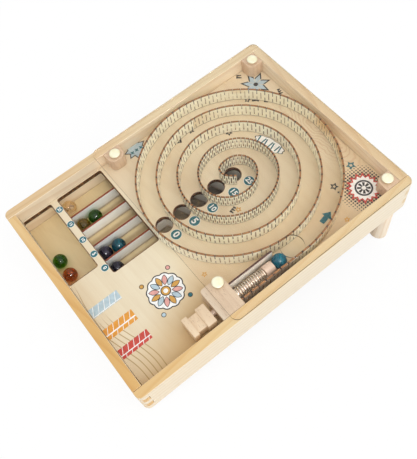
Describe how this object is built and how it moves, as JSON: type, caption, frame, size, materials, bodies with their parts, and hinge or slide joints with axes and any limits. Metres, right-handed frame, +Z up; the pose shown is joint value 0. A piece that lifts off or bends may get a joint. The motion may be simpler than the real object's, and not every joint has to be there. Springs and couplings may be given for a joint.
{
  "type": "tabletop pinball game",
  "caption": "Sloping wooden tray game with a spiral marble track, spring plunger, clear cover, scoring lanes and coloured glass marbles on two rear legs.",
  "frame": {"origin": "on the table, under the middle of the object's box", "axes": "+Z up; +Y from the player's end up the slope to the raised end; +X to the player's right, the plunger's side"},
  "size_m": [0.256, 0.3526, 0.1036],
  "materials": {
    "frame_wood": "sanded, clear satin varnish",
    "board_ply": "birch plywood with printed motifs",
    "strip_ply": "laser-cut plywood with burnt edges",
    "block_wood": "sanded beech",
    "rail_wood": "laser-cut plywood",
    "clear_plastic": "clear acrylic",
    "brass": "pale brass plating",
    "steel": "bright wire",
    "glass_clear": "polished coloured glass",
    "glass_olive": "polished coloured glass",
    "glass_green": "polished coloured glass",
    "glass_navy": "polished coloured glass",
    "glass_teal": "polished coloured glass",
    "glass_amber": "polished coloured glass"
  },
  "bodies": {
    "tray": {"front_wall": "frame_wood", "back_wall": "frame_wood", "left_wall": "frame_wood", "right_wall": "frame_wood", "leg_left": "frame_wood", "leg_right": "frame_wood", "play_board": "board_ply", "floor_board": "board_ply", "spiral_strip_1": "strip_ply", "spiral_strip_2": "strip_ply", "spiral_strip_3": "strip_ply", "spiral_strip_4": "strip_ply", "launch_lane_strip": "strip_ply", "rear_left_post": "block_wood", "rear_right_post": "block_wood", "front_left_post": "block_wood", "plunger_block": "block_wood", "hole_guide_rail": "rail_wood", "upper_guide_rail": "rail_wood", "lane_stop_rail": "rail_wood", "tray_end_rail": "rail_wood", "board_cleat_left": "rail_wood", "board_cleat_right": "rail_wood", "board_cleat_back": "rail_wood", "board_cleat_front": "rail_wood", "lane_divider_1": "rail_wood", "lane_divider_2": "rail_wood", "lane_divider_3": "rail_wood", "lane_divider_4": "rail_wood", "clear_cover": "clear_plastic", "cover_screw_rear_left": "brass", "cover_screw_rear_right": "brass", "cover_screw_front_left": "brass", "cover_screw_front_right": "brass", "leg_screw_left": "steel", "leg_screw_right": "steel", "plunger_spring": "steel"},
    "plunger": {"plunger_head": "block_wood", "plunger_rod": "block_wood", "plunger_handle": "block_wood"},
    "marble_lane25_clear": {"marble_lane25_clear": "glass_clear"},
    "marble_lane15_olive": {"marble_lane15_olive": "glass_olive"},
    "marble_lane15_green": {"marble_lane15_green": "glass_green"},
    "marble_lane5_navy": {"marble_lane5_navy": "glass_navy"},
    "marble_lane5_teal": {"marble_lane5_teal": "glass_teal"},
    "marble_lane0_navy": {"marble_lane0_navy": "glass_navy"},
    "marble_tray_green": {"marble_tray_green": "glass_green"},
    "marble_tray_amber": {"marble_tray_amber": "glass_amber"},
    "marble_launch_teal": {"marble_launch_teal": "glass_teal"}
  },
  "joints": [
    {"name": "plunger_pull", "type": "slide", "parent": "tray", "child": "plunger", "axis": [0, 0.9867, 0.1627], "range_m": [-0.02, 0], "stiffness_N_per_m": 180, "springref_m": 0.002, "deforming": ["plunger_spring"]},
    {"name": "marble_lane25_clear_roll", "type": "slide", "parent": "tray", "child": "marble_lane25_clear", "axis": [0, 0.9867, 0.1627], "range_m": [0, 0.048]},
    {"name": "marble_lane15_olive_roll", "type": "slide", "parent": "tray", "child": "marble_lane15_olive", "axis": [0, 0.9867, 0.1627], "range_m": [0, 0.034]},
    {"name": "marble_lane15_green_roll", "type": "slide", "parent": "tray", "child": "marble_lane15_green", "axis": [0, 0.9867, 0.1627], "range_m": [0, 0.034]},
    {"name": "marble_lane5_navy_roll", "type": "slide", "parent": "tray", "child": "marble_lane5_navy", "axis": [0, 0.9867, 0.1627], "range_m": [0, 0.034]},
    {"name": "marble_lane5_teal_roll", "type": "slide", "parent": "tray", "child": "marble_lane5_teal", "axis": [0, 0.9867, 0.1627], "range_m": [0, 0.034]},
    {"name": "marble_lane0_navy_roll", "type": "slide", "parent": "tray", "child": "marble_lane0_navy", "axis": [0, 0.9867, 0.1627], "range_m": [0, 0.048]},
    {"name": "marble_launch_teal_roll", "type": "slide", "parent": "tray", "child": "marble_launch_teal", "axis": [0, 0.9867, 0.1627], "range_m": [0, 0.036]},
    {"name": "marble_tray_green_roll", "type": "slide", "parent": "tray", "child": "marble_tray_green", "axis": [1, 0, 0], "range_m": [-0.05, 0.002]},
    {"name": "marble_tray_amber_roll", "type": "slide", "parent": "tray", "child": "marble_tray_amber", "axis": [1, 0, 0], "range_m": [-0.002, 0.0095]}
  ],
  "couplings": [
    {"joint": "marble_lane15_green_roll", "follows": "marble_lane15_olive_roll", "ratio": 1},
    {"joint": "marble_lane5_teal_roll", "follows": "marble_lane5_navy_roll", "ratio": 1}
  ]
}
